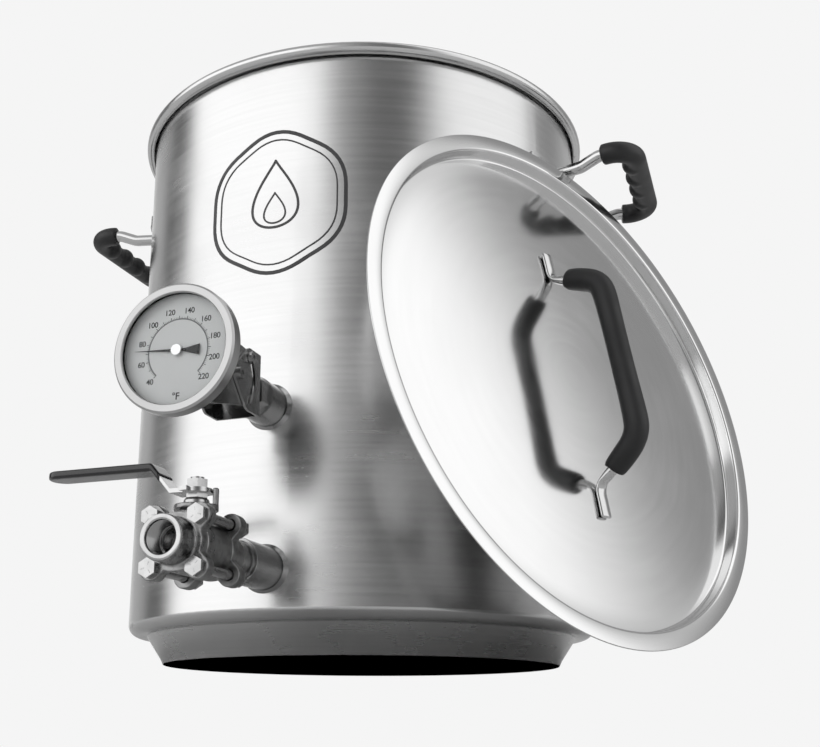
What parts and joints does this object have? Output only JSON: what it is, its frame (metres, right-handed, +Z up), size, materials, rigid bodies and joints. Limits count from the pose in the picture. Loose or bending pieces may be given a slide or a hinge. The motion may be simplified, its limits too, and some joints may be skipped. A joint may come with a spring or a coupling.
{
  "type": "brew kettle",
  "caption": "Tall stainless brew kettle with rolled rim, drain ball valve, tilting dial thermometer, gripped side handles and a recessed lid leaning on its wall.",
  "frame": {"origin": "centre of the base's underside, on the kettle's axis", "axes": "+Z up along the kettle's axis; the valve and the dial face -Y, so the right handle is at +X"},
  "size_m": [0.5402, 0.4987, 0.4335],
  "materials": {
    "kettle_steel": "brushed",
    "base_steel": "satin",
    "heat_spreader": "cast",
    "coupling_steel": "turned",
    "cast_valve_steel": "bead blasted",
    "bolt_steel": "bright",
    "ball_steel": "polished",
    "seat_plastic": "matt",
    "lever_steel": "satin",
    "lever_vinyl": "semi-gloss",
    "probe_steel": "polished",
    "bracket_steel": "satin",
    "bellows_rubber": "matt",
    "case_steel": "brushed",
    "gasket_rubber": "matt",
    "dial_face": "painted",
    "pointer_black": "painted",
    "hub_metal": "plated",
    "lens_glass": "clear",
    "handle_steel": "polished",
    "grip_rubber": "matt",
    "lid_steel": "brushed",
    "lid_rod_steel": "polished",
    "lid_grip_rubber": "matt"
  },
  "bodies": {
    "kettle": {"base_cap": "base_steel", "base_core": "heat_spreader", "kettle_shell": "kettle_steel", "left_handle_grip": "grip_rubber", "left_handle_rivets": "handle_steel", "left_handle_rod": "handle_steel", "left_handle_strap_front": "handle_steel", "left_handle_strap_rear": "handle_steel", "right_handle_grip": "grip_rubber", "right_handle_rivets": "handle_steel", "right_handle_rod": "handle_steel", "right_handle_strap_front": "handle_steel", "right_handle_strap_rear": "handle_steel", "thermometer_coupling": "coupling_steel", "thermometer_fitting": "coupling_steel", "thermometer_locknut": "bolt_steel", "thermometer_pivot_nuts": "bolt_steel", "thermometer_pivot_screws": "bolt_steel", "thermometer_probe": "probe_steel", "thermometer_yoke": "bracket_steel", "valve_body": "cast_valve_steel", "valve_bolts": "bolt_steel", "valve_cap_inner": "cast_valve_steel", "valve_cap_outer": "cast_valve_steel", "valve_coupling": "coupling_steel", "valve_gland": "bolt_steel", "valve_lock_washers": "bolt_steel", "valve_nipple": "coupling_steel", "valve_nuts": "bolt_steel", "valve_packing": "seat_plastic", "valve_seal_inner": "seat_plastic", "valve_seal_outer": "seat_plastic", "valve_seat_inner": "seat_plastic", "valve_seat_outer": "seat_plastic", "valve_thrust_washer": "seat_plastic"},
    "lever": {"valve_lever": "lever_steel", "valve_lever_sleeve": "lever_vinyl", "valve_stem_nut": "bolt_steel", "valve_packing_nut": "bolt_steel", "valve_disc_spring": "bolt_steel", "valve_stem": "ball_steel", "valve_ball": "ball_steel"},
    "thermometer_head": {"thermometer_head_bracket": "bracket_steel", "thermometer_lock_screws": "bolt_steel", "thermometer_lock_nuts": "bolt_steel", "thermometer_case": "case_steel", "thermometer_bush": "hub_metal", "thermometer_dial": "dial_face", "thermometer_gasket": "gasket_rubber", "thermometer_lens": "lens_glass", "thermometer_bezel": "case_steel", "thermometer_bellows": "bellows_rubber"},
    "pointer": {"thermometer_pointer": "pointer_black", "thermometer_hub": "hub_metal", "thermometer_spindle": "hub_metal"},
    "lid": {"lid_pan": "lid_steel", "lid_handle_rod": "lid_rod_steel", "lid_handle_grip": "lid_grip_rubber"}
  },
  "joints": [
    {"name": "valve_turn", "type": "hinge", "parent": "kettle", "child": "lever", "pos_m": [0, -0.273, 0.0535], "axis": [0, 0, 1], "range_deg": [0, 90]},
    {"name": "dial_tilt", "type": "hinge", "parent": "kettle", "child": "thermometer_head", "pos_m": [0, -0.254, 0.1625], "axis": [-1, 0, 0], "range_deg": [0, 90], "deforming": ["thermometer_bellows"]},
    {"name": "pointer_turn", "type": "hinge", "parent": "thermometer_head", "child": "pointer", "pos_m": [0, -0.3035, 0.1625], "axis": [0, -1, 0], "range_deg": [-221, 49], "stiffness_Nm_per_rad": 0.002},
    {"name": "lid_lift_away", "type": "slide", "parent": "kettle", "child": "lid", "axis": [0.8713, -0.483, 0.0872], "range_m": [0, 0.3]}
  ]
}
